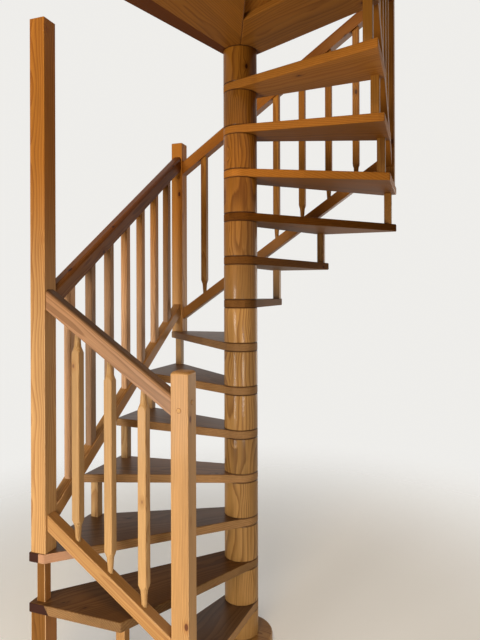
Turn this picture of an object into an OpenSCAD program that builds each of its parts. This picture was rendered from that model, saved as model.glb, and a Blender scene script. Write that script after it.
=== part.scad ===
/* [Storey] */
// Height of one riser, from the top of one tread to the top of the next
riser = 200; // [180:5:220]
// Thickness of the treads and of the landing
tread_t = 38; // [30:1:50]

/* [Column] */
// Diameter of the turned drums and of the tread hubs
column_d = 157; // [120:1:180]
// Depth of the rounded arris at both ends of a drum
drum_round = 4; // [2:0.5:6]
// Diameter of the foot disc under the column
foot_d = 290; // [240:5:360]
// Thickness of the foot disc
foot_t = 45; // [30:1:60]
// Radius of the rounded upper arris of the foot disc
foot_round = 8; // [4:1:12]

/* [Plan] */
// Half the side of the square that the tread ends fill
plan_half = 662; // [600:1:760]
// Distance from the tread ends to the line of the posts and spindles
edge_inset = 41; // [38:1:60]
// How far a nosing runs past the spindle under it
nose_lap = 13; // [4:1:24]
// How far the back of a tread runs past the spindle on it
back_lap = 3; // [0:1:12]
// Width of the landing's straight board, measured from its nosing
landing_board_w = 282; // [240:2:320]
// Thickness of the boards that fill the landing's outer corner
infill_t = 13; // [8:1:20]
// How far a tread's straight edges cut into its round hub
hub_cut = 0.5; // [0.2:0.1:2]

/* [Posts and spindles] */
// Width of the square posts
post_w = 70; // [56:1:74]
// Height of a post over the tread that it stands on
post_rise = 1147; // [1120:1:1250]
// Radius of the rounded top edges of a post
post_crown = 6; // [4:1:12]
// Radius of the rounded top edges of the start post
start_crown = 15; // [6:1:20]
// Clear height between the tall corner post and the underside of the landing
tall_post_gap = 40; // [0:5:120]
// Width of the short square spindles between the treads
spindle_w = 38; // [30:1:46]
// Radius of the softened long edges of posts, spindles and balusters
arris = 3; // [1:0.5:5]
// Tread left round the foot of a post
foot_margin = 1; // [0:0.5:8]

/* [Balustrade] */
// Width of the handrail
rail_w = 58; // [50:1:64]
// Depth of the handrail, square to its slope
rail_h = 66; // [56:1:80]
// Height of the handrail top over the line of the nosings, halfway along a panel
rail_over = 1055; // [950:5:1090]
// Radius of the rounded upper edges of the handrail
rail_round = 16; // [8:1:20]
// Width of the bottom rail
sole_w = 50; // [40:1:60]
// Depth of the bottom rail, square to its slope
sole_h = 54; // [40:1:64]
// Height of the bottom rail's underside over that line, halfway along a panel
sole_over = 96; // [60:2:130]
// How much steeper the rails run than the treads climb
rail_steep = 1.075; // [1:0.005:1.12]
// How much lower the back panel sits than the others
back_drop = 14; // [0:1:60]
// Widest clear gap between the balusters
baluster_gap = 118; // [90:1:140]
// Width of the square balusters
baluster_w = 35; // [30:1:38]
// Diameter of a baluster's turned neck where it meets a rail
neck_end_d = 20; // [14:1:22]
// Diameter of the neck where its shoulder begins
neck_d = 28; // [23:1:29]
// Length of the neck
neck_len = 56; // [40:2:120]
// Length of the shoulder between the neck and the square
shoulder_len = 28; // [15:1:50]

/* [Hidden] */
$fn = 64;

// Treads below the landing, and the turn that each of them takes
treads = 13;
step = 360 / 16;
hub_r = column_d / 2;
edge_r = hub_r - hub_cut;
line_half = plan_half - edge_inset;
spindle_h = riser - tread_t;
landing_top = riser * (treads + 1);

// Plan positions that carry a post, counted in treads from the start of the stair
start_at = 0;
tall_at = 2;
back_left_at = 6;
back_right_at = 10;
landing_at = 13;

// Plan positions of the joint between the landing's boards and of its last edge
joint_at = 15;
last_at = 17;

// Distance from a support's centre to the tread edge that has to clear it
nose_reach = spindle_w / 2 + nose_lap;
back_reach = spindle_w / 2 + back_lap;
post_reach = post_w / sqrt(2) + foot_margin;

// Allowance by which cutting shapes run past what they cut
past = 5;

// Angles run clockwise, seen from above, from the middle of the front side
function heading(a) = [-sin(a), -cos(a)];
function bearing(p) = atan2(-p[0], -p[1]);
function unwrap(a, near) = a + 360 * round((near - a) / 360);
function on_square(a, half) = heading(a) * half / max(abs(sin(a)), abs(cos(a)));
function support(k) = on_square(step * k, line_half);

// Reach from a support's centre to the nosing above it and to the back of the tread under it
function nose_gap(k) = (k == tall_at || k == back_left_at || k == back_right_at || k == landing_at)
    ? post_reach : nose_reach;
function back_gap(k) = k == tall_at ? post_reach : back_reach;

// Headings of the two edges of a tread, each nearly tangent to the hub
function nose_heading(k) = step * k + asin((edge_r - nose_gap(k)) / norm(support(k)));
function back_heading(k) = step * k - asin((edge_r - back_gap(k)) / norm(support(k)));

// Points just inside the hub, on the lower and the upper side of a tread, where its edges start
function low_side(a) = edge_r * [cos(a), -sin(a)];
function high_side(a) = -low_side(a);

// Point where a line from p along heading a leaves the square plan
function wall_run(p, d) = d > 0 ? (plan_half - p) / d : d < 0 ? (-plan_half - p) / d : 1e9;
function leave(p, a) = p + heading(a)
    * min(wall_run(p[0], heading(a)[0]), wall_run(p[1], heading(a)[1]));

// Corners of the square plan that lie between two points of its sides
function corners(p, q, near) =
    let (from = unwrap(bearing(p), near), to = unwrap(bearing(q), near))
    [for (corner = [45 : 90 : 405]) if (corner > from && corner < to) on_square(corner, plan_half)];

// Outline of a tread between the headings of its nosing and its back
function wedge(nose, back) =
    let (nose_end = leave(low_side(nose), nose), back_end = leave(high_side(back), back))
    concat([[0, 0], low_side(nose), nose_end], corners(nose_end, back_end, (nose + back) / 2),
        [back_end, high_side(back)]);

// The landing's straight board runs along its nosing, and its wedge board starts at a joint from the axis
board_nose = nose_heading(landing_at);
board_nose_end = leave(low_side(board_nose), board_nose);
joint = step * joint_at;
joint_end = leave([0, 0], joint);
parting = heading(joint) * (landing_board_w - edge_r) / sin(joint - board_nose);
board_end = leave(parting, board_nose);
last_heading = back_heading(last_at);
last_start = high_side(last_heading) * hub_r / edge_r;
last_end = leave(last_start, last_heading);
board_outline = concat([low_side(board_nose), board_nose_end],
    corners(board_nose_end, board_end, board_nose),
    [board_end, parting - past * heading(board_nose), high_side(joint)]);
wedge_outline = concat([[0, 0], joint_end], corners(joint_end, last_end, joint), [last_end, last_start]);
infill_outline = concat([parting, board_end], corners(board_end, joint_end, joint), [joint_end]);

// Each panel runs between two supports and turns about its middle where it is steeper than the treads
function run(from, to) = norm(support(to) - support(from));
function slope(from, to) = rail_steep * riser * (to - from) / run(from, to);
function floor_z(from, to) = riser * (from + 1) - riser * (to - from) * (rail_steep - 1) / 2
    - (from == back_left_at ? back_drop : 0);

module soft_square(w) {
    union() {
        square([w - 2 * arris, w], center = true);
        square([w, w - 2 * arris], center = true);
        for (x = [-1, 1], y = [-1, 1])
            translate([x, y] * (w / 2 - arris)) circle(arris);
    }
}

module plank(outline) {
    union() {
        cylinder(h = tread_t, r = hub_r);
        linear_extrude(tread_t) polygon(outline);
    }
}

module tread(k) {
    color("peru") translate([0, 0, riser * k - tread_t])
        plank(wedge(nose_heading(k - 1), back_heading(k)));
}

module first_tread() {
    difference() {
        tread(1);
        color("peru") translate([0, 0, -past]) translate(support(start_at))
            linear_extrude(riser + 2 * past) square(post_w, center = true);
    }
}

module landing_board() {
    color("peru") translate([0, 0, landing_top - tread_t]) difference() {
        plank(board_outline);
        translate([0, 0, -past]) linear_extrude(tread_t + 2 * past) polygon(wedge_outline);
    }
}

module landing_wedge() {
    color("peru") translate([0, 0, landing_top - tread_t]) linear_extrude(tread_t) polygon(wedge_outline);
}

module landing_infill() {
    color("burlywood") translate([0, 0, landing_top - infill_t]) linear_extrude(infill_t)
        polygon(infill_outline);
}

module foot_disc() {
    color("sienna") rotate_extrude() union() {
        square([foot_d / 2, foot_t - foot_round]);
        square([foot_d / 2 - foot_round, foot_t]);
        translate([foot_d / 2 - foot_round, foot_t - foot_round])
            intersection() {
                circle(foot_round);
                square(foot_round);
            }
    }
}

module drum(h) {
    rotate_extrude() union() {
        translate([0, drum_round]) square([hub_r, h - 2 * drum_round]);
        square([hub_r - drum_round, h]);
        for (z = [drum_round, h - drum_round])
            translate([hub_r - drum_round, z]) intersection() {
                circle(drum_round);
                translate([0, -drum_round]) square([drum_round, 2 * drum_round]);
            }
    }
}

module column_drums() {
    color("peru") union() {
        translate([0, 0, foot_t]) drum(riser - tread_t - foot_t);
        for (k = [1 : treads])
            translate([0, 0, riser * k]) drum(spindle_h);
    }
}

module spindles(first, last) {
    color("burlywood") for (k = [first : last])
        translate([support(k)[0], support(k)[1], riser * k])
            linear_extrude(spindle_h) soft_square(spindle_w);
}

module crown_outline(h, crown) {
    union() {
        translate([-post_w / 2, 0]) square([post_w, h - crown]);
        translate([crown - post_w / 2, 0]) square([post_w - 2 * crown, h]);
        for (x = [-1, 1])
            translate([x * (post_w / 2 - crown), h - crown]) circle(crown);
    }
}

module post(k, bottom, top, crown) {
    color("burlywood") translate([support(k)[0], support(k)[1], bottom]) intersection() {
        linear_extrude(top - bottom) soft_square(post_w);
        rotate([90, 0, 0]) linear_extrude(post_w + 2 * past, center = true)
            crown_outline(top - bottom, crown);
        rotate([90, 0, 90]) linear_extrude(post_w + 2 * past, center = true)
            crown_outline(top - bottom, crown);
    }
}

module square_post(k, bottom, top) {
    color("burlywood") translate([support(k)[0], support(k)[1], bottom])
        linear_extrude(top - bottom) soft_square(post_w);
}

module standing_post(k) {
    post(k, riser * (k + 1), riser * (k + 1) + post_rise, post_crown);
}

module side_place(from, to) {
    translate(support(from)) rotate([0, 0, 180 - 90 * round((step * from + 1) / 90)])
        translate([0, 0, floor_z(from, to)]) children();
}

// A bar that follows the slope between two posts, with its 2D section's zero at a height
module sloped_bar(from, to, over) {
    length = run(from, to);
    angle = atan(slope(from, to));
    intersection() {
        translate([0, 0, over]) rotate([0, -angle, 0]) rotate([90, 0, 90])
            translate([0, 0, -post_w]) linear_extrude(length / cos(angle) + 2 * post_w) children();
        translate([post_w / 2, -post_w, 0])
            cube([length - post_w, 2 * post_w, rail_over + slope(from, to) * length + post_w]);
    }
}

module rail_section() {
    union() {
        translate([-rail_w / 2, -rail_h]) square([rail_w, rail_h - rail_round]);
        translate([rail_round - rail_w / 2, -rail_h]) square([rail_w - 2 * rail_round, rail_h]);
        for (x = [-1, 1])
            translate([x * (rail_w / 2 - rail_round), -rail_round]) circle(rail_round);
    }
}

module handrail(from, to) {
    color("chocolate") side_place(from, to) sloped_bar(from, to, rail_over) rail_section();
}

module bottom_rail(from, to) {
    color("peru") side_place(from, to) sloped_bar(from, to, sole_over)
        translate([-sole_w / 2, 0]) square([sole_w, sole_h]);
}

// Half the outline of a turned neck with its shoulder, its end at zero
module neck_profile(length) {
    full = baluster_w;
    shoulder = neck_len + shoulder_len * (full - neck_d / 2) / (baluster_w / sqrt(2) - neck_d / 2);
    polygon([[0, -full], [neck_end_d / 2, -full], [neck_end_d / 2, 0], [neck_d / 2, neck_len],
        [full, shoulder], [full, length + full], [0, length + full]]);
}

module balusters(from, to, low_neck, high_neck) {
    length = run(from, to);
    climb = slope(from, to);
    angle = atan(climb);
    count = ceil((length - post_w - baluster_gap) / (baluster_gap + baluster_w));
    clear = (length - post_w - count * baluster_w) / (count + 1);
    low = sole_over + sole_h / cos(angle);
    high = rail_over - rail_h / cos(angle);
    half = baluster_w / 2;
    rise = half * climb;
    color("burlywood") side_place(from, to) for (i = [1 : count]) {
        along = post_w / 2 + (clear + baluster_w) * i - half;
        translate([along, 0, climb * along]) intersection() {
            translate([0, 0, low - baluster_w]) linear_extrude(high - low + 2 * baluster_w)
                soft_square(baluster_w);
            rotate([90, 0, 0]) linear_extrude(2 * baluster_w, center = true)
                polygon([[-half, low - rise], [half, low + rise],
                    [half, high + rise], [-half, high - rise]]);
            if (low_neck)
                translate([0, 0, low]) rotate_extrude() neck_profile(high - low);
            if (high_neck)
                translate([0, 0, high]) mirror([0, 0, 1]) rotate_extrude() neck_profile(high - low);
        }
    }
}

foot_disc();
column_drums();
first_tread();  // tread_01
tread(2);  // tread_02
tread(3);  // tread_03
tread(4);  // tread_04
tread(5);  // tread_05
tread(6);  // tread_06
tread(7);  // tread_07
tread(8);  // tread_08
tread(9);  // tread_09
tread(10);  // tread_10
tread(11);  // tread_11
tread(12);  // tread_12
tread(13);  // tread_13
landing_board();
landing_wedge();
landing_infill();
spindles(1, 2);  // spindles_front
spindles(3, 6);  // spindles_left
spindles(7, 10);  // spindles_back
spindles(11, 13);  // spindles_right
square_post(tall_at, 0, riser * tall_at - tread_t);  // corner_leg
post(start_at, 0, riser + post_rise, start_crown);  // start_post
square_post(tall_at, riser * (tall_at + 1), landing_top - tread_t - tall_post_gap);  // tall_post
standing_post(back_left_at);  // back_left_post
standing_post(back_right_at);  // back_right_post
standing_post(landing_at);  // landing_post
handrail(start_at, tall_at);  // front_handrail
handrail(tall_at, back_left_at);  // left_handrail
handrail(back_left_at, back_right_at);  // back_handrail
handrail(back_right_at, landing_at);  // right_handrail
bottom_rail(start_at, tall_at);  // front_bottom_rail
bottom_rail(tall_at, back_left_at);  // left_bottom_rail
bottom_rail(back_left_at, back_right_at);  // back_bottom_rail
bottom_rail(back_right_at, landing_at);  // right_bottom_rail
balusters(start_at, tall_at, true, true);  // front_balusters
balusters(tall_at, back_left_at, false, false);  // left_balusters
balusters(back_left_at, back_right_at, true, false);  // back_balusters
balusters(back_right_at, landing_at, true, false);  // right_balusters
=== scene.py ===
import math
import random

import bmesh
import bpy
from mathutils import Matrix, Vector


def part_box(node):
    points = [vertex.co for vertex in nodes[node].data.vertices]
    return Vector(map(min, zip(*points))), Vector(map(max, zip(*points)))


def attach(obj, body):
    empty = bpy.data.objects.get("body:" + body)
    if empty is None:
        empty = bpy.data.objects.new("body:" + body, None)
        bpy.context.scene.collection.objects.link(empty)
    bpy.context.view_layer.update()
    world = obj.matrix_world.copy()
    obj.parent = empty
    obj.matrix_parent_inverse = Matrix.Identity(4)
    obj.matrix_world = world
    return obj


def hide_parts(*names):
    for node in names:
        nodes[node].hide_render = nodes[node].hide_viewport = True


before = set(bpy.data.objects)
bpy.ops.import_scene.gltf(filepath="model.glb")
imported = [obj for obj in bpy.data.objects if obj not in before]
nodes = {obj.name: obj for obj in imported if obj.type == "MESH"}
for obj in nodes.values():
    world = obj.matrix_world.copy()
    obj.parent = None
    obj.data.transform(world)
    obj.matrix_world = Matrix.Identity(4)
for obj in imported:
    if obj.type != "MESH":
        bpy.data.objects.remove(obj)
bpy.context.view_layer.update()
print("frame loaded,", len(nodes), "nodes")

upward = Vector((0, 0, 1))
tiny = 0.00001  # metres within which two points are one


# Node helpers: a small layer over the shader editor's own nodes

def addNode(tree, kind, **values):
    node = tree.nodes.new(kind)
    for key, value in values.items():
        setattr(node, key, value)
    return node


def feed(tree, socket, value):
    if isinstance(value, bpy.types.NodeSocket):
        tree.links.new(value, socket)
    else:
        socket.default_value = value


def calc(tree, operation, *values):
    node = addNode(tree, "ShaderNodeMath", operation=operation)
    for socket, value in zip(node.inputs, values):
        feed(tree, socket, value)
    return node.outputs[0]


def times(tree, first, second):
    return calc(tree, "MULTIPLY", first, second)


def total(tree, first, *others):
    for other in others:
        first = calc(tree, "ADD", first, other)
    return first


def joined(tree, *values):
    node = addNode(tree, "ShaderNodeCombineXYZ")
    for socket, value in zip(node.inputs, values):
        feed(tree, socket, value)
    return node.outputs[0]


def split(tree, vector):
    node = addNode(tree, "ShaderNodeSeparateXYZ")
    feed(tree, node.inputs[0], vector)
    return node.outputs[:]


def lengthOf(tree, vector):
    node = addNode(tree, "ShaderNodeVectorMath", operation="LENGTH")
    feed(tree, node.inputs[0], vector)
    return node.outputs["Value"]


def attribute(tree, name):
    return addNode(tree, "ShaderNodeAttribute", attribute_name=name).outputs


def blendColour(tree, amount, first, second, how="MIX"):
    # a Mix node keeps its factor in input 0, and its colours in inputs 6 and 7 and output 2
    node = addNode(tree, "ShaderNodeMix", data_type="RGBA", blend_type=how)
    for number, value in ((0, amount), (6, first), (7, second)):
        feed(tree, node.inputs[number], value)
    return node.outputs[2]


def spread(tree, value, low, high, outLow, outHigh, smooth=False):
    kind = "SMOOTHSTEP" if smooth else "LINEAR"
    node = addNode(tree, "ShaderNodeMapRange", clamp=True, interpolation_type=kind)
    for socket, number in zip(node.inputs, (value, low, high, outLow, outHigh)):
        feed(tree, socket, number)
    return node.outputs[0]


def fade(tree, value, near, far, amount):
    return spread(tree, value, near, far, amount, 0.0, smooth=True)


def swing(tree, value, low, high, depth):
    return spread(tree, value, low, high, -depth, depth)


def noise(tree, vector, stretch, scale=1.0, detail=2.0, roughness=0.5):
    mapping = addNode(tree, "ShaderNodeMapping")
    feed(tree, mapping.inputs["Vector"], vector)
    mapping.inputs["Scale"].default_value = stretch
    node = addNode(tree, "ShaderNodeTexNoise")
    feed(tree, node.inputs["Vector"], mapping.outputs[0])
    for key, value in (("Scale", scale), ("Detail", detail), ("Roughness", roughness)):
        node.inputs[key].default_value = value
    return node.outputs["Fac"]


# Varnished pine. pale and dark are a growth ring's early and late wood, and knot the knots.
# ringWidth is one ring in metres, ringDepth how dark its late wood gets, wander how far the rings
# stray. Boards are glued from strips of the width stave: staveDepth and toneDepth say how much
# strips and boards differ. gloss is the roughness, coat the layer of varnish and shine the specular
# level. topShade darkens faces that look up, as hand wear and painted shade, and a look may lay a
# painted highlight of a paler colour on rounded edges. A look that is like another one names only
# what differs, and the rest comes from plainPine.
plainPine = dict(ringDepth=0.8, wander=0.4, stave=0.2, staveDepth=0.05, toneDepth=0.1, gloss=0.45,
                 coat=0.0, shine=0.1, highlightColour=(0.66, 0.40, 0.19, 1))
pineLooks = {
    "post": dict(pale=(0.50, 0.280, 0.106), dark=(0.28, 0.120, 0.032), knot=(0.11, 0.035, 0.012),
                 ringWidth=0.0058, wander=0.5, toneDepth=0.30, coat=0.04, shine=0.15, paintedHighlight=0.35),
    "baluster": dict(pale=(0.49, 0.295, 0.122), dark=(0.28, 0.132, 0.038), knot=(0.10, 0.032, 0.012),
                     ringWidth=0.0050, wander=0.5, toneDepth=0.34, coat=0.04, shine=0.15),
    "shadedBaluster": dict(like="baluster", pale=(0.58, 0.345, 0.185), dark=(0.34, 0.168, 0.072),
                           toneDepth=0.50),
    "drum": dict(pale=(0.37, 0.200, 0.062), dark=(0.155, 0.066, 0.018), knot=(0.035, 0.012, 0.006),
                 ringWidth=0.0046, wander=0.6, stave=0.06, staveDepth=0.08, toneDepth=0.25, gloss=0.35,
                 coat=0.20, shine=0.05),
    "tread": dict(pale=(0.35, 0.192, 0.076), dark=(0.21, 0.093, 0.029), knot=(0.06, 0.020, 0.009),
                  ringWidth=0.0070, ringDepth=0.75, stave=0.092, staveDepth=0.10, toneDepth=0.50,
                  gloss=0.52),
    # tread 3, with a pale painted reflection on its front
    "reflectionTread": dict(like="tread", paintedHighlight=0.7, highlightColour=(0.42, 0.222, 0.132, 1)),
    # darker treads: painted shade where the landing's shadow falls
    "shadowedTread": dict(like="tread", pale=(0.33, 0.154, 0.046), dark=(0.20, 0.074, 0.017), shine=0.02),
    # painted shade on the undersides of treads
    "underShade": dict(like="tread", pale=(0.25, 0.126, 0.034), dark=(0.145, 0.062, 0.015),
                       knot=(0.05, 0.017, 0.008), toneDepth=0.1),
    "treadTop": dict(pale=(0.150, 0.079, 0.037), dark=(0.078, 0.037, 0.016), knot=(0.030, 0.013, 0.008),
                     ringWidth=0.0070, stave=0.092, staveDepth=0.09, gloss=0.38, coat=0.04, shine=0.18),
    # tread 2's top with a painted pool of warm light
    "paintedLightTop": dict(like="treadTop", pale=(0.180, 0.086, 0.030), dark=(0.095, 0.042, 0.013), gloss=0.48,
                    coat=0.0, shine=0.07),
    # tread 4's top paled by a painted sheen
    "paintedSheenTop": dict(like="treadTop", pale=(0.24, 0.132, 0.070), dark=(0.125, 0.063, 0.031)),
    "dimTop": dict(like="treadTop", coat=0.0, shine=0.08),
    "darkStrip": dict(pale=(0.145, 0.054, 0.011), dark=(0.09, 0.030, 0.006), knot=(0.03, 0.012, 0.006),
                      ringWidth=0.0070, ringDepth=0.6, gloss=0.55, shine=0.08),
    "endGrain": dict(pale=(0.038, 0.011, 0.006), dark=(0.020, 0.007, 0.004), knot=(0.02, 0.008, 0.005),
                     ringWidth=0.0040, gloss=0.55),
    "handrail": dict(pale=(0.31, 0.130, 0.034), dark=(0.15, 0.050, 0.011), knot=(0.05, 0.017, 0.008),
                     ringWidth=0.0060, toneDepth=0.40, gloss=0.42, coat=0.03, shine=0.12),
    # the front handrail, its top darkened by hand wear and painted shade
    "wornShadedHandrail": dict(like="handrail", pale=(0.315, 0.168, 0.082), dark=(0.17, 0.080, 0.034),
                         ringWidth=0.0042, wander=0.3, gloss=0.45, topShade=0.32),
    "bottomRail": dict(pale=(0.43, 0.222, 0.070), dark=(0.26, 0.105, 0.027), knot=(0.08, 0.025, 0.010),
                       ringWidth=0.0055, toneDepth=0.34, coat=0.04, shine=0.15, paintedHighlight=0.4),
    # the corner leg and a spindle: painted shade, with a strong painted highlight on their edges
    "shadedLowPost": dict(pale=(0.172, 0.071, 0.013), dark=(0.105, 0.037, 0.005), knot=(0.05, 0.017, 0.008),
                    ringWidth=0.0055, toneDepth=0.2, gloss=0.5, coat=0.02, paintedHighlight=1.0,
                    highlightColour=(0.46, 0.27, 0.13, 1)),
    "plug": dict(pale=(0.54, 0.31, 0.12), dark=(0.34, 0.17, 0.055), knot=(0.10, 0.035, 0.012),
                 ringWidth=0.0030, ringDepth=0.5, gloss=0.5),
}

# The grain pattern. Board coordinates run along, across and deep into a board, in metres, and each
# noise stretches them. A board's tone times seedSteps picks its set of strips, and each strip moves
# by its share of stripSlide and stripDrop. ringEnds and ringStops say how dark the wood is at the
# two ends of a ring and at places between them.
grainLook = dict(seedSteps=997.0, stripSlide=7.0, stripDrop=0.05, bendReach=0.05, swayReach=0.04,
                 ringEnds=(0.06, 0.05), ringStops=((0.45, 0.28), (0.78, 0.85), (0.9, 1.0), (0.96, 0.35)),
                 broadFrom=0.3, broadTo=0.7, broadDepth=0.10,
                 fibreFrom=0.25, fibreTo=0.75, fibreDepth=0.17)
grainNoises = dict(bend=dict(stretch=(1.6, 5.0, 5.0)),
                   sway=dict(stretch=(2.3, 4.0, 4.0), scale=1.7, detail=1.0),
                   broad=dict(stretch=(1.1, 14.0, 14.0)),
                   fibre=dict(stretch=(9.0, 420.0, 420.0), detail=3.0, roughness=0.6))

# Knots lie in cells of the board, and distances are in cells. The rings bend round a knot by push
# metres as far as reach, a halo of dark wood lies round it, and its core has the knot's colour.
knotLook = dict(cells=(4.5, 8.0, 8.0), reach=0.24, push=0.007, haloFrom=0.06, haloTo=0.17, halo=0.55,
                coreFrom=0.045, coreTo=0.075)

# Painted highlights on rounded edges, tops darkened by hand wear and painted shade, and painted warm
# light: the wood gets warmer between two heights, under the upper lamp
lightAndWearLook = dict(arrisFrom=0.05, arrisTo=0.35, topFrom=0.25, topTo=0.75,
                warmLightTint=(0.80, 0.56, 0.20, 1), warmFrom=1.4, warmTo=2.2)

# A painted shade line darkens the groove at each joint between drums and hubs, full within lineFull
# metres of the joint and gone at lineGone. Along a tread it fades from pastFull to pastGone outside the
# column.
grooveShadeLook = dict(on=("drum", "tread", "reflectionTread", "shadowedTread"), strength=0.7, lineFull=0.0012,
                 lineGone=0.0056, pastFull=0.0015, pastGone=0.0055)
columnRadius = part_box("column_drums")[1].x
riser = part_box("tread_05")[1].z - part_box("tread_04")[1].z
drumHeight = riser - (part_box("tread_05")[1].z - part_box("tread_05")[0].z)

# Varnish: the roughness runs from glossBelow under a look's gloss to glossAbove over it, and late
# wood and fibres stand up a little
varnishLook = dict(ior=1.45, coatRoughness=0.12, glossFrom=0.2, glossTo=0.8, glossBelow=0.04,
                   glossAbove=0.10, reliefStrength=0.12, reliefDepth=0.0006, ringRelief=0.4, fibreRelief=0.5)


def lookOf(name):
    own = pineLooks[name]
    return {**(lookOf(own["like"]) if "like" in own else plainPine), **own}


def strayed(tree, grain, noiseName, reach):
    # a noise that pushes to both sides by up to half of reach
    sway = noise(tree, grain, **grainNoises[noiseName])
    return times(tree, calc(tree, "SUBTRACT", sway, 0.5), reach)


def growthRings(tree, look, grain, across, deep, knotFar):
    # rings round a pith beside the board: faces show cathedral grain and ends show arcs
    side = total(tree, across, strayed(tree, grain, "bend", grainLook["bendReach"] * look["wander"]))
    depth = total(tree, deep, strayed(tree, grain, "sway", grainLook["swayReach"] * look["wander"]))
    radius = calc(tree, "SQRT", total(tree, times(tree, side, side), times(tree, depth, depth)))
    radius = total(tree, radius, fade(tree, knotFar, 0.0, knotLook["reach"], knotLook["push"]))
    ring = calc(tree, "FRACT", calc(tree, "DIVIDE", radius, look["ringWidth"]))
    ramp = addNode(tree, "ShaderNodeValToRGB")
    stops = ramp.color_ramp.elements
    for stop, shade in zip(stops, grainLook["ringEnds"]):
        stop.color = (shade, shade, shade, 1)
    for position, shade in grainLook["ringStops"]:
        stops.new(position).color = (shade, shade, shade, 1)
    tree.links.new(ring, ramp.inputs[0])
    return ramp.outputs[0]


def toned(tree, look, wood, grain, fibre, tone, stripTone):
    # broad and fine streaks, and the board's and the strip's own tone
    broad = noise(tree, grain, **grainNoises["broad"])
    brightness = total(
        tree,
        swing(tree, broad, grainLook["broadFrom"], grainLook["broadTo"], grainLook["broadDepth"]),
        swing(tree, fibre, grainLook["fibreFrom"], grainLook["fibreTo"], grainLook["fibreDepth"]),
        swing(tree, tone, 0.0, 1.0, look["toneDepth"]),
        swing(tree, stripTone, 0.0, 1.0, look["staveDepth"]),
        1.0)
    # tops darkened by hand wear and painted shade
    if "topShade" in look:
        topward = attribute(tree, "topward")["Fac"]
        brightness = times(tree, brightness, spread(tree, topward, lightAndWearLook["topFrom"], lightAndWearLook["topTo"],
                                                    1.0, look["topShade"], smooth=True))
    shade = addNode(tree, "ShaderNodeHueSaturation")
    tree.links.new(wood, shade.inputs["Color"])
    tree.links.new(brightness, shade.inputs["Value"])
    return shade.outputs[0]


def knotted(tree, look, wood, knotFar):
    halo = fade(tree, knotFar, knotLook["haloFrom"], knotLook["haloTo"], knotLook["halo"])
    core = fade(tree, knotFar, knotLook["coreFrom"], knotLook["coreTo"], 1.0)
    wood = blendColour(tree, halo, wood, (*look["dark"], 1))
    return blendColour(tree, core, wood, (*look["knot"], 1))


def withPaintedHighlight(tree, look, wood):
    # a painted highlight on rounded edges, and on tread 3 the painted reflection on its front
    arris = attribute(tree, "arris")["Fac"]
    paintedSheen = spread(tree, arris, lightAndWearLook["arrisFrom"], lightAndWearLook["arrisTo"], 0.0, look["paintedHighlight"],
                  smooth=True)
    return blendColour(tree, paintedSheen, wood, look["highlightColour"])


def paintedWarmLight(tree, wood, height):
    # painted warm light that grows with height
    climb = spread(tree, height, lightAndWearLook["warmFrom"], lightAndWearLook["warmTo"], 0.0, 1.0, smooth=True)
    return blendColour(tree, climb, wood, blendColour(tree, 1.0, wood, lightAndWearLook["warmLightTint"], "MULTIPLY"))


def grooveShade(tree, look, wood, place, height):
    # each storey of the column is a drum with a hub on it, so a joint lies at 0 and at drumHeight
    inStorey = calc(tree, "FLOORED_MODULO", height, riser)
    fromFoot = calc(tree, "MINIMUM", inStorey, calc(tree, "SUBTRACT", riser, inStorey))
    fromDrumTop = calc(tree, "ABSOLUTE", calc(tree, "SUBTRACT", inStorey, drumHeight))
    fromJoint = calc(tree, "MINIMUM", fromFoot, fromDrumTop)
    # painted shade in the groove at each joint
    line = fade(tree, fromJoint, grooveShadeLook["lineFull"], grooveShadeLook["lineGone"], grooveShadeLook["strength"])
    flatPlace = addNode(tree, "ShaderNodeVectorMath", operation="MULTIPLY")
    tree.links.new(place, flatPlace.inputs[0])
    flatPlace.inputs[1].default_value = (1, 1, 0)
    onColumn = spread(tree, lengthOf(tree, flatPlace.outputs["Vector"]), columnRadius + grooveShadeLook["pastFull"],
                      columnRadius + grooveShadeLook["pastGone"], 1.0, 0.0)
    return blendColour(tree, times(tree, line, onColumn), wood, (*look["knot"], 1))


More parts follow.
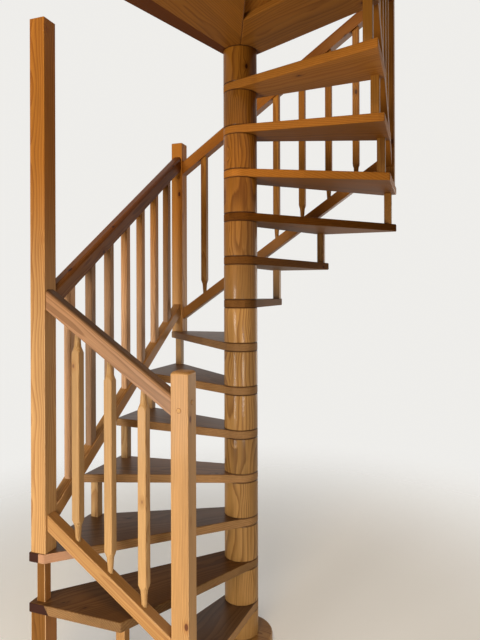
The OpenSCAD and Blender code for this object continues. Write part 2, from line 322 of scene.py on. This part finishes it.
def pine(name, fromObject=False):
    # fromObject is for a node that keeps its own mesh and has no board attributes
    look = lookOf(name)
    material = bpy.data.materials.new("pine_" + name + ("_disc" if fromObject else ""))
    material.use_nodes = True
    tree = material.node_tree
    shader = tree.nodes["Principled BSDF"]
    place = addNode(tree, "ShaderNodeTexCoord").outputs["Object"]
    board = place if fromObject else attribute(tree, "board")["Vector"]
    tone = 0.5 if fromObject else attribute(tree, "tone")["Fac"]
    along, across, deep = split(tree, board)

    strip = calc(tree, "FLOOR", calc(tree, "DIVIDE", across, look["stave"]))
    seed = calc(tree, "FLOOR", times(tree, tone, grainLook["seedSteps"]))
    chance = addNode(tree, "ShaderNodeTexWhiteNoise", noise_dimensions="2D")
    tree.links.new(joined(tree, strip, seed), chance.inputs["Vector"])
    stripTone = chance.outputs["Value"]
    deep = total(tree, deep, times(tree, stripTone, grainLook["stripDrop"]))
    grain = joined(tree, total(tree, along, times(tree, stripTone, grainLook["stripSlide"])), across, deep)

    cellSpace = addNode(tree, "ShaderNodeMapping")
    tree.links.new(grain, cellSpace.inputs["Vector"])
    cellSpace.inputs["Scale"].default_value = knotLook["cells"]
    cells = addNode(tree, "ShaderNodeTexVoronoi")
    tree.links.new(cellSpace.outputs[0], cells.inputs["Vector"])
    cells.inputs["Scale"].default_value = 1.0
    knotFar = cells.outputs["Distance"]

    lateWood = growthRings(tree, look, grain, across, deep, knotFar)
    fibre = noise(tree, grain, **grainNoises["fibre"])
    wood = blendColour(tree, times(tree, lateWood, look["ringDepth"]), (*look["pale"], 1), (*look["dark"], 1))
    wood = toned(tree, look, wood, grain, fibre, tone, stripTone)
    wood = knotted(tree, look, wood, knotFar)
    if "paintedHighlight" in look:
        wood = withPaintedHighlight(tree, look, wood)
    height = split(tree, place)[2]
    wood = paintedWarmLight(tree, wood, height)
    if name in grooveShadeLook["on"]:
        wood = grooveShade(tree, look, wood, place, height)
    tree.links.new(wood, shader.inputs["Base Color"])

    relief = addNode(tree, "ShaderNodeBump")
    relief.inputs["Strength"].default_value = varnishLook["reliefStrength"]
    relief.inputs["Distance"].default_value = varnishLook["reliefDepth"]
    bumps = total(tree, times(tree, lateWood, varnishLook["ringRelief"]),
                  times(tree, fibre, varnishLook["fibreRelief"]))
    tree.links.new(bumps, relief.inputs["Height"])
    tree.links.new(relief.outputs[0], shader.inputs["Normal"])
    gloss = spread(tree, fibre, varnishLook["glossFrom"], varnishLook["glossTo"],
                   look["gloss"] - varnishLook["glossBelow"], look["gloss"] + varnishLook["glossAbove"])
    tree.links.new(gloss, shader.inputs["Roughness"])
    shader.inputs["IOR"].default_value = varnishLook["ior"]
    shader.inputs["Specular IOR Level"].default_value = look["shine"]
    shader.inputs["Coat Weight"].default_value = look["coat"]
    shader.inputs["Coat Roughness"].default_value = varnishLook["coatRoughness"]
    return material


pines = {name: pine(name) for name in pineLooks}
print("materials made")


# Boards: each solid of a node becomes a board with its own grain, knots and tone. flatWithin and
# steepest are angles in degrees. turn, in radians, is how far a flat board's pith may lie from
# straight above it, and starts the range along the grain where boards begin. Grain that leans by a
# sine under upright counts as upright, and faces that look up or down by under sideTilt as sides.
boardShape = dict(flatWithin=0.6, steepest=35, steps=3, turn=0.35, starts=(2, 60), upright=0.2, sideTilt=0.3)


def solidFrom(name):
    mesh = bmesh.new()
    mesh.from_mesh(nodes[name].data)
    bmesh.ops.remove_doubles(mesh, verts=mesh.verts, dist=tiny)
    bmesh.ops.dissolve_limit(mesh, angle_limit=math.radians(boardShape["flatWithin"]), verts=mesh.verts,
                             edges=mesh.edges, use_dissolve_boundaries=False, delimit=set())
    return mesh


def soften(mesh, radius, steepest=boardShape["steepest"]):
    edges = [edge for edge in mesh.edges
             if len(edge.link_faces) == 2 and edge.calc_face_angle(0) > math.radians(steepest)]
    bmesh.ops.bevel(mesh, geom=edges, offset=radius, offset_type="OFFSET", segments=boardShape["steps"],
                    profile=0.5, affect="EDGES", clamp_overlap=True, material=-1)


def solidsOf(mesh):
    left = set(mesh.verts)
    while left:
        start = min(left, key=lambda vert: vert.index)
        group = {start}
        edge = [start]
        while edge:
            vert = edge.pop()
            for link in vert.link_edges:
                other = link.other_vert(vert)
                if other not in group:
                    group.add(other)
                    edge.append(other)
        left -= group
        yield sorted(group, key=lambda vert: vert.index)


def middleOf(group):
    return sum((vert.co for vert in group), Vector()) / len(group)


def heightFirst(group):
    middle = middleOf(group)
    return tuple(round(value, 4) for value in (middle.z, middle.x, middle.y))


def giveGrain(mesh, grainAlong, seed, pith=(0.05, 0.11), flat=False, tones=(0.0, 1.0), ownTones=()):
    # tones is a range, and ownTones gives single boards theirs, from the lowest up
    chance = random.Random(seed)
    boardLayer = mesh.verts.layers.float_vector.new("board")
    toneLayer = mesh.verts.layers.float.new("tone")
    topLayer = mesh.verts.layers.float.new("topward")
    arrisLayer = mesh.verts.layers.float.new("arris")
    mesh.verts.index_update()
    mesh.normal_update()
    for number, group in enumerate(sorted(solidsOf(mesh), key=heightFirst)):
        centre = middleOf(group)
        along = grainAlong(centre).normalized()
        across = upward.cross(along)
        across = across.normalized() if across.length > boardShape["upright"] else Vector((1, 0, 0))
        deep = along.cross(across).normalized()
        widest = boardShape["turn"] if flat else math.pi
        turn = chance.uniform(-widest, widest)
        pithFar = chance.uniform(*pith)
        if not flat:
            spin = Matrix.Rotation(chance.choice((0, 1, 2, 3)) * math.pi / 2, 3, along)
            across, deep = spin @ across, spin @ deep
        start = chance.uniform(*boardShape["starts"])
        tone = chance.uniform(*tones)
        if number < len(ownTones):
            tone = ownTones[number]
        for vert in group:
            arm = vert.co - centre
            vert[boardLayer] = Vector((arm.dot(along) + start,
                                       arm.dot(across) - pithFar * math.sin(turn),
                                       arm.dot(deep) + pithFar * math.cos(turn)))
            vert[toneLayer] = tone
            vert[topLayer] = max(0.0, vert.normal.z)
            # a rounded upright edge faces between two sides
            walls = [face.normal for face in vert.link_faces if abs(face.normal.z) < boardShape["sideTilt"]]
            facing = sum(walls, Vector()).normalized()
            vert[arrisLayer] = min(abs(facing.x), abs(facing.y))


def keepPiece(mesh, name, finishes, smoothBelow=0.0, replaced=None):
    # faces under smoothBelow square metres belong to a rounding
    for face in mesh.faces:
        face.smooth = face.calc_area() < smoothBelow
    data = bpy.data.meshes.new(name)
    mesh.to_mesh(data)
    mesh.free()
    for finish in finishes:
        data.materials.append(pines[finish])
    piece = bpy.data.objects.new(name, data)
    bpy.context.scene.collection.objects.link(piece)
    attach(piece, "root")
    if replaced:
        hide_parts(replaced)


def upright(centre):
    return upward


def outward(centre):
    return Vector((centre.x, centre.y, 0))


# Treads and landing boards: eased arrises all round, grain along the tread, darker on top.
# bodies, tops and tones say which look and which tone a board has, from 0 dark to 1 pale. The tones
# are set tread by tread and carry painted shade and light besides the wood's own tone, the bodies
# paint shade on treads 8 to 10, and the tops paint a pool of light on tread 2 and a sheen on tread 4.
# shadedUnder says which treads have painted shade below. endPatches are dark end grain on the
# front, left of a line this far from the tread's left end. A painted reflection on the front of
# tread 3 fades between two such distances. The strip under the landing's last edge lies beyond a
# line through a point, on the side of across.
treadShape = dict(
    seed=100, arris=0.0045, infillArris=0.002, pith=(0.09, 0.22), smoothBelow=0.0015,
    topTilt=0.75, frontTilt=0.3, stripTilt=0.5, frontReach=0.02,
    bodies={"tread_03": "reflectionTread", "tread_08": "shadowedTread", "tread_09": "shadowedTread",
            "tread_10": "shadowedTread"},
    tops={"tread_02": "paintedLightTop", "tread_04": "paintedSheenTop", "tread_06": "dimTop", "tread_07": "dimTop"},
    shadedUnder=("tread_09", "tread_10", "tread_11", "tread_12"),
    plainTone=0.5,
    tones={"tread_02": 0.02, "tread_03": 0.25, "tread_04": 0.35, "tread_05": 0.20, "tread_06": 0.25,
           "tread_07": 0.25, "tread_08": 0.0, "tread_09": 0.12, "tread_10": 0.0, "tread_11": 1.0,
           "tread_12": 0.92, "tread_13": 1.0, "landing_board": 0.58, "landing_wedge": 0.55},
    endPatches={"tread_02": dict(width=0.084, across=(0.84, 0, 0.54)),
                "tread_03": dict(width=0.046, across=(1, 0, 0))},
    paintedReflection=dict(tread="tread_03", full=0.062, gone=0.232),
    underStrip=dict(board="landing_wedge", point=(-0.048, -0.065, 0), across=(-0.972, 0.235, 0)))
boardNames = ["tread_%02d" % number for number in range(1, 14)]
boardNames += ["landing_board", "landing_wedge", "landing_infill"]
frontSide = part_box("tread_02")[0].y


def cutThrough(mesh, point, across):
    everything = mesh.verts[:] + mesh.edges[:] + mesh.faces[:]
    bmesh.ops.bisect_plane(mesh, geom=everything, dist=tiny, plane_co=point, plane_no=across,
                           clear_inner=False, clear_outer=False)


def paintReflection(mesh, full, gone):
    # the front carries a painted reflection that grows from the line at gone to the line at full
    arrisLayer = mesh.verts.layers.float["arris"]
    for vert in mesh.verts:
        share = (gone - vert.co.x) / (gone - full)
        inFront = vert.normal.y < -treadShape["frontTilt"]
        vert[arrisLayer] = max(0.0, min(1.0, share)) if inFront else 0.0


def boardFinish(face, name, patchPoint):
    # 0 is the board's body, 1 its top and 2 its patch, strip or underside with painted shade
    middle = face.calc_center_median()
    strip = treadShape["underStrip"]
    if face.normal.z > treadShape["topTilt"]:
        return 1
    if patchPoint and face.normal.y < -treadShape["frontTilt"]:
        across = Vector(treadShape["endPatches"][name]["across"])
        atFront = middle.y < frontSide + treadShape["frontReach"]
        if atFront and (middle - patchPoint).dot(across) < 0:
            return 2
    if name in treadShape["shadedUnder"] and face.normal.z < -treadShape["topTilt"]:
        return 2
    if name == strip["board"] and face.normal.z < -treadShape["stripTilt"]:
        return 2 if (middle - Vector(strip["point"])).dot(Vector(strip["across"])) > 0 else 0
    return 0


for index, name in enumerate(boardNames):
    low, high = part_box(name)
    mesh = solidFrom(name)
    soften(mesh, treadShape["infillArris" if name == "landing_infill" else "arris"])
    patchPoint = None
    special = "underShade"
    if name in treadShape["endPatches"]:
        patch = treadShape["endPatches"][name]
        patchPoint = Vector((low.x + patch["width"], 0, (low.z + high.z) / 2))
        cutThrough(mesh, patchPoint, patch["across"])
        special = "endGrain"
    if name == treadShape["underStrip"]["board"]:
        cutThrough(mesh, treadShape["underStrip"]["point"], treadShape["underStrip"]["across"])
        special = "darkStrip"
    # the painted reflection on tread 3's front
    paintedSheen = treadShape["paintedReflection"] if name == treadShape["paintedReflection"]["tread"] else None
    if paintedSheen:
        fullAt, goneAt = low.x + paintedSheen["full"], low.x + paintedSheen["gone"]
        cutThrough(mesh, (fullAt, 0, 0), (1, 0, 0))
        cutThrough(mesh, (goneAt, 0, 0), (1, 0, 0))
    tone = treadShape["tones"].get(name, treadShape["plainTone"])
    giveGrain(mesh, outward, treadShape["seed"] + index, treadShape["pith"], flat=True, tones=(tone, tone))
    if paintedSheen:
        paintReflection(mesh, fullAt, goneAt)
    for face in mesh.faces:
        face.material_index = boardFinish(face, name, patchPoint)
    finishes = (treadShape["bodies"].get(name, "tread"), treadShape["tops"].get(name, "treadTop"), special)
    keepPiece(mesh, name + "_pine", finishes, treadShape["smoothBelow"], replaced=name)
print("treads made")

# Column: every drum is its own block, with its own grain
columnLook = dict(seed=7, pith=(0.02, 0.09), smoothBelow=0.01)
mesh = solidFrom("column_drums")
giveGrain(mesh, upright, columnLook["seed"], columnLook["pith"])
keepPiece(mesh, "drum_stack", ["drum"], columnLook["smoothBelow"], replaced="column_drums")
discMaterials = nodes["foot_disc"].data.materials
discMaterials.clear()
discMaterials.append(pine("drum", fromObject=True))
print("column made")

# Posts and spindles. The corner leg and the spindle on the second tread have painted shade in
# front and are paler on the right. tones: 0 dark, 1 pale, set post by post so that they also paint
# the light and shade that falls on each post.
postLook = dict(seed=40, smoothBelow=0.004, rightFacing=0.95, dark="corner_leg",
                tones={"corner_leg": 0.5, "start_post": 0.42, "tall_post": 0.35, "back_left_post": 0.95,
                       "back_right_post": 0.3, "landing_post": 0.4})
# frontTones are low to paint the shade at the foot of the stair
spindleLook = dict(seed=60, smoothBelow=0.0012, frontTones=(0.15, 0.4), tones=(0.0, 0.3))
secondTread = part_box("tread_02")[0].z
sides = ("front", "left", "back", "right")


def facesRight(face):
    return face.normal.x > postLook["rightFacing"]


for index, (name, tone) in enumerate(postLook["tones"].items()):
    mesh = solidFrom(name)
    giveGrain(mesh, upright, postLook["seed"] + index, tones=(tone, tone))
    finishes = ("shadedLowPost", "handrail") if name == postLook["dark"] else ("post",)
    for face in mesh.faces:
        face.material_index = 1 if name == postLook["dark"] and facesRight(face) else 0
    keepPiece(mesh, name + "_pine", finishes, postLook["smoothBelow"], replaced=name)

for index, side in enumerate(sides):
    name = "spindles_" + side
    inFront = side == "front"
    mesh = solidFrom(name)
    tones = spindleLook["frontTones" if inFront else "tones"]
    giveGrain(mesh, upright, spindleLook["seed"] + index, tones=tones)
    for face in mesh.faces:
        onTread = inFront and face.calc_center_median().z > secondTread
        face.material_index = 0 if not onTread else 2 if facesRight(face) else 1
    finishes = ("bottomRail", "shadedLowPost", "handrail") if inFront else ("baluster",)
    keepPiece(mesh, name + "_pine", finishes, spindleLook["smoothBelow"], replaced=name)

# Dowel plugs where the handrails are pinned to the posts, each in its dark bored rim. A plug lies
# below the post's head, and aside from the middle of the face that looks the way of facing.
plugLook = dict(radius=0.0078, rim=0.0098, proud=0.0016, rimProud=0.0004, depth=0.004, sides=40,
                rounding=0.0012, smoothBelow=0.00001, seed=71, rimSeed=72, tones=(0.3, 0.5),
                grain=(0.6, -0.8, 0))
plugPlaces = (dict(post="start_post", facing=(0, -1, 0), aside=-0.002, below=0.141),
              dict(post="start_post", facing=(1, 0, 0), aside=-0.001, below=0.114),
              dict(post="back_left_post", facing=(0, -1, 0), aside=0.012, below=0.211))


def dowels(radius, proud):
    mesh = bmesh.new()
    for plug in plugPlaces:
        low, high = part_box(plug["post"])
        facing = Vector(plug["facing"])
        outTo = (high.x - low.x) / 2 + proud - plugLook["depth"] / 2
        place = (low + high) / 2 + facing * outTo + upward.cross(facing) * plug["aside"]
        place.z = high.z - plug["below"]
        turn = facing.to_track_quat("Z", "Y").to_matrix().to_4x4()
        bmesh.ops.create_cone(mesh, cap_ends=True, cap_tris=False, segments=plugLook["sides"],
                              radius1=radius, radius2=radius, depth=plugLook["depth"],
                              matrix=Matrix.Translation(place) @ turn)
    return mesh


def plugGrain(centre):
    return Vector(plugLook["grain"])


mesh = dowels(plugLook["radius"], plugLook["proud"])
soften(mesh, plugLook["rounding"])
giveGrain(mesh, plugGrain, plugLook["seed"], tones=plugLook["tones"])
keepPiece(mesh, "dowel_plugs", ["plug"], plugLook["smoothBelow"])
mesh = dowels(plugLook["rim"], plugLook["rimProud"])
giveGrain(mesh, plugGrain, plugLook["rimSeed"], tones=plugLook["tones"])
keepPiece(mesh, "dowel_rims", ["handrail"])
print("posts, spindles and plugs made")

# Panels: rails follow the slope, balusters stand upright. run is the way in which the rails climb,
# and ownTones gives the left balusters theirs, from the lowest up, set one by one to paint the shade
# on each.
panelShape = dict(railSeed=84, bottomSeed=90, balusterSeed=120, arris=0.004, steepest=60, railHeight=0.09,
                  railSmooth=0.012, balusterSmooth=0.002)
panelLooks = {
    "front": dict(run=(-1, 0), rail="wornShadedHandrail", railTone=0.55, bottomTone=0.35,
                  baluster="baluster", tones=(0.25, 0.5), ownTones=()),
    "left": dict(run=(0, 1), rail="handrail", railTone=0.0, bottomTone=0.55,
                 baluster="shadedBaluster", tones=(0.4, 0.9),
                 ownTones=(0.69, 0.0, 0.12, 0.46, 0.31, 0.47, 0.16)),
    "back": dict(run=(1, 0), rail="bottomRail", railTone=0.5, bottomTone=0.5,
                 baluster="baluster", tones=(0.45, 0.8), ownTones=()),
    "right": dict(run=(0, -1), rail="handrail", railTone=0.5, bottomTone=0.5,
                  baluster="baluster", tones=(0.3, 0.7), ownTones=()),
}


def sloping(name, slope, seed, tone, finish):
    mesh = solidFrom(name)
    soften(mesh, panelShape["arris"], panelShape["steepest"])
    giveGrain(mesh, lambda centre: slope, seed, tones=(tone, tone))
    keepPiece(mesh, name + "_pine", [finish], panelShape["railSmooth"], replaced=name)


for index, side in enumerate(sides):
    panel = panelLooks[side]
    low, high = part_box(side + "_handrail")
    reach = high - low
    slope = Vector((panel["run"][0] * reach.x, panel["run"][1] * reach.y, reach.z - panelShape["railHeight"]))
    sloping(side + "_handrail", slope, panelShape["railSeed"] + index, panel["railTone"], panel["rail"])
    sloping(side + "_bottom_rail", slope, panelShape["bottomSeed"] + index, panel["bottomTone"], "bottomRail")
    name = side + "_balusters"
    mesh = solidFrom(name)
    giveGrain(mesh, upright, panelShape["balusterSeed"] + index, tones=panel["tones"],
              ownTones=panel["ownTones"])
    keepPiece(mesh, name + "_pine", [panel["baluster"]], panelShape["balusterSmooth"],
              replaced=name)
print("panels made")

# Stage: a pale floor that fades into the backdrop. It lies drop metres lower than the feet.
stageLook = dict(floorColour=(0.80, 0.79, 0.765, 1), backColour=(0.86, 0.85, 0.825, 1),
                 skyColour=(1.0, 0.84, 0.64, 1), skyLight=0.125, floorSize=14, drop=0.001,
                 floorRoughness=0.7, floorGlow=0.30, fadeFrom=0.9, fadeTo=3.6)


def paleFloor():
    material = bpy.data.materials.new("pale_floor")
    material.use_nodes = True
    tree = material.node_tree
    shader = tree.nodes["Principled BSDF"]
    shader.inputs["Base Color"].default_value = stageLook["floorColour"]
    shader.inputs["Roughness"].default_value = stageLook["floorRoughness"]
    shader.inputs["Emission Color"].default_value = stageLook["floorColour"]
    shader.inputs["Emission Strength"].default_value = stageLook["floorGlow"]
    clear = addNode(tree, "ShaderNodeBsdfTransparent")
    fading = addNode(tree, "ShaderNodeMixShader")
    fromMiddle = lengthOf(tree, addNode(tree, "ShaderNodeTexCoord").outputs["Object"])
    amount = spread(tree, fromMiddle, stageLook["fadeFrom"], stageLook["fadeTo"], 0.0, 1.0, smooth=True)
    for socket, value in zip(fading.inputs, (amount, shader.outputs[0], clear.outputs[0])):
        tree.links.new(value, socket)
    tree.links.new(fading.outputs[0], tree.nodes["Material Output"].inputs["Surface"])
    return material


mesh = bmesh.new()
bmesh.ops.create_grid(mesh, x_segments=1, y_segments=1, size=stageLook["floorSize"])
bmesh.ops.translate(mesh, verts=mesh.verts, vec=(0, 0, -stageLook["drop"]))
floorData = bpy.data.meshes.new("floor")
mesh.to_mesh(floorData)
mesh.free()
floorData.materials.append(paleFloor())
floor = bpy.data.objects.new("floor", floorData)
bpy.context.scene.collection.objects.link(floor)

# The camera and shiny wood see the pale backdrop, and everything else gets the sky's dim warm light
world = bpy.data.worlds.new("studio")
bpy.context.scene.world = world
world.use_nodes = True
tree = world.node_tree
background = tree.nodes["Background"]
paths = addNode(tree, "ShaderNodeLightPath").outputs
shinyRays = calc(tree, "MAXIMUM", paths["Is Glossy Ray"], paths["Is Transmission Ray"])
seen = calc(tree, "MAXIMUM", paths["Is Camera Ray"], shinyRays)
backColour = blendColour(tree, seen, stageLook["skyColour"], stageLook["backColour"])
tree.links.new(backColour, background.inputs["Color"])
tree.links.new(spread(tree, seen, 0.0, 1.0, stageLook["skyLight"], 1.0), background.inputs["Strength"])

# Lamps: power in watts, beam in degrees
lampLooks = {
    "window": dict(place=(-1.5, -3.9, 0.8), aim=(-0.2, 0, 0.8), size=(1.2, 1.6), power=140,
                   colour=(1.0, 0.96, 0.90), beam=180),
    "fill": dict(place=(2.8, -4.0, 0.5), aim=(-0.4, -0.5, 0.2), size=(1.4, 1.0), power=13,
                 colour=(1.0, 0.97, 0.93), beam=60),
    "upstairs": dict(place=(0.2, -2.8, 4.2), aim=(0, 0, 2.5), size=(1.0, 1.0), power=54,
                     colour=(1.0, 0.72, 0.38), beam=180),
    "behind": dict(place=(1.8, 4.4, 1.5), aim=(0, 0, 1.5), size=(2.4, 2.4), power=45,
                   colour=(1.0, 0.93, 0.84), beam=180),
}
for name, lamp in lampLooks.items():
    light = bpy.data.lights.new(name, "AREA")
    light.shape = "RECTANGLE"
    light.size, light.size_y = lamp["size"]
    light.energy = lamp["power"]
    light.color = lamp["colour"]
    light.spread = math.radians(lamp["beam"])
    holder = bpy.data.objects.new(name, light)
    holder.location = lamp["place"]
    holder.rotation_euler = (Vector(lamp["aim"]) - holder.location).to_track_quat("-Z", "Y").to_euler()
    bpy.context.scene.collection.objects.link(holder)

# Camera: roll is its own lean in degrees, lens and sensor are in millimetres
cameraLook = dict(place=(0.8740, -2.4378, 1.6198), towards=(-0.33863, 0.94092, 0), lens=30.978, sensor=36,
                  shift=-0.03871, roll=-0.169, clipStart=0.05)
camera = bpy.data.cameras.new("camera")
camera.sensor_width = cameraLook["sensor"]
camera.lens = cameraLook["lens"]
camera.shift_y = cameraLook["shift"]
camera.clip_start = cameraLook["clipStart"]
camera.dof.use_dof = False
viewer = bpy.data.objects.new("camera", camera)
viewer.location = cameraLook["place"]
aim = Vector(cameraLook["towards"]).to_track_quat("-Z", "Y").to_matrix()
viewer.rotation_euler = (aim @ Matrix.Rotation(math.radians(cameraLook["roll"]), 3, "Z")).to_euler()
bpy.context.scene.collection.objects.link(viewer)
bpy.context.scene.camera = viewer
bpy.context.scene.view_settings.view_transform = "Standard"
print("stage, lamps and camera set")
